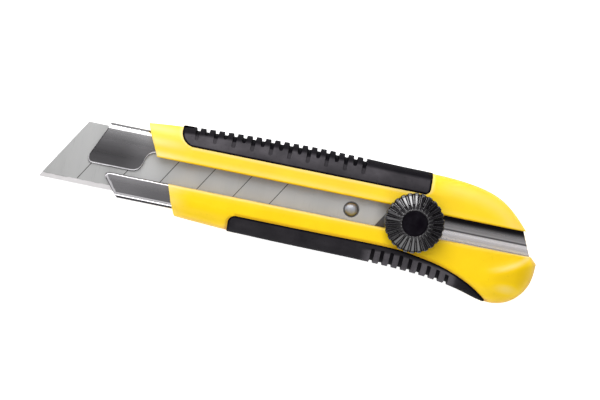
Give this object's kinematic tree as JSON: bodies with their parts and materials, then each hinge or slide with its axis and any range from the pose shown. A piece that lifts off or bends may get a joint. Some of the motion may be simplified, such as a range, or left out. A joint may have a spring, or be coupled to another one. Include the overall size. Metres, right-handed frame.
{
  "type": "utility knife",
  "caption": "Snap-off utility knife with a folded steel blade guide, soft grips and a sliding blade carrier clamped by a ribbed wheel.",
  "frame": {"origin": "on the flat back face that the knife lies on, on the centre line of the slot, at the middle of the knife's length", "axes": "+X along the knife from the blade's tip to the tail, +Y across it towards the toothed upper grip, +Z out of the front face towards the lock wheel"},
  "size_m": [0.2001, 0.0467, 0.0268],
  "materials": {
    "yellow_shell": "satin moulded plastic",
    "black_grip": "matt soft grip",
    "stainless": "brushed stainless sheet",
    "blade_steel": "ground carbon steel",
    "zinc_steel": "zinc plated",
    "black_plastic": "moulded",
    "brass": "turned",
    "polished_steel": "polished dome"
  },
  "bodies": {
    "handle": {"handle_body": "yellow_shell", "upper_grip": "black_grip", "lower_grip": "black_grip", "blade_guide": "stainless", "guide_rivets": "zinc_steel"},
    "slider": {"slider_plate": "zinc_steel", "slider_block": "black_plastic", "block_rivets": "zinc_steel", "blade": "blade_steel", "blade_pin": "polished_steel", "lock_stud": "zinc_steel", "stud_clip": "zinc_steel"},
    "clamp": {"clamp_washer": "zinc_steel", "wave_washer": "zinc_steel"},
    "wheel": {"lock_wheel": "black_plastic", "thread_insert": "brass", "hub_cap": "black_plastic"}
  },
  "joints": [
    {"name": "blade_slide", "type": "slide", "parent": "handle", "child": "slider", "axis": [-1, 0, 0], "range_m": [-0.032, 0.078]},
    {"name": "wheel_lift", "type": "slide", "parent": "slider", "child": "clamp", "axis": [0, 0, 1], "range_m": [0, 0.0008]},
    {"name": "wheel_turn", "type": "hinge", "parent": "clamp", "child": "wheel", "pos_m": [0.0486, -0.0003, 0.0215], "axis": [0, 0, 1], "range_deg": [0, 361]}
  ],
  "couplings": [
    {"joint": "wheel_turn", "follows": "wheel_lift", "rad_per_m": 7854}
  ]
}
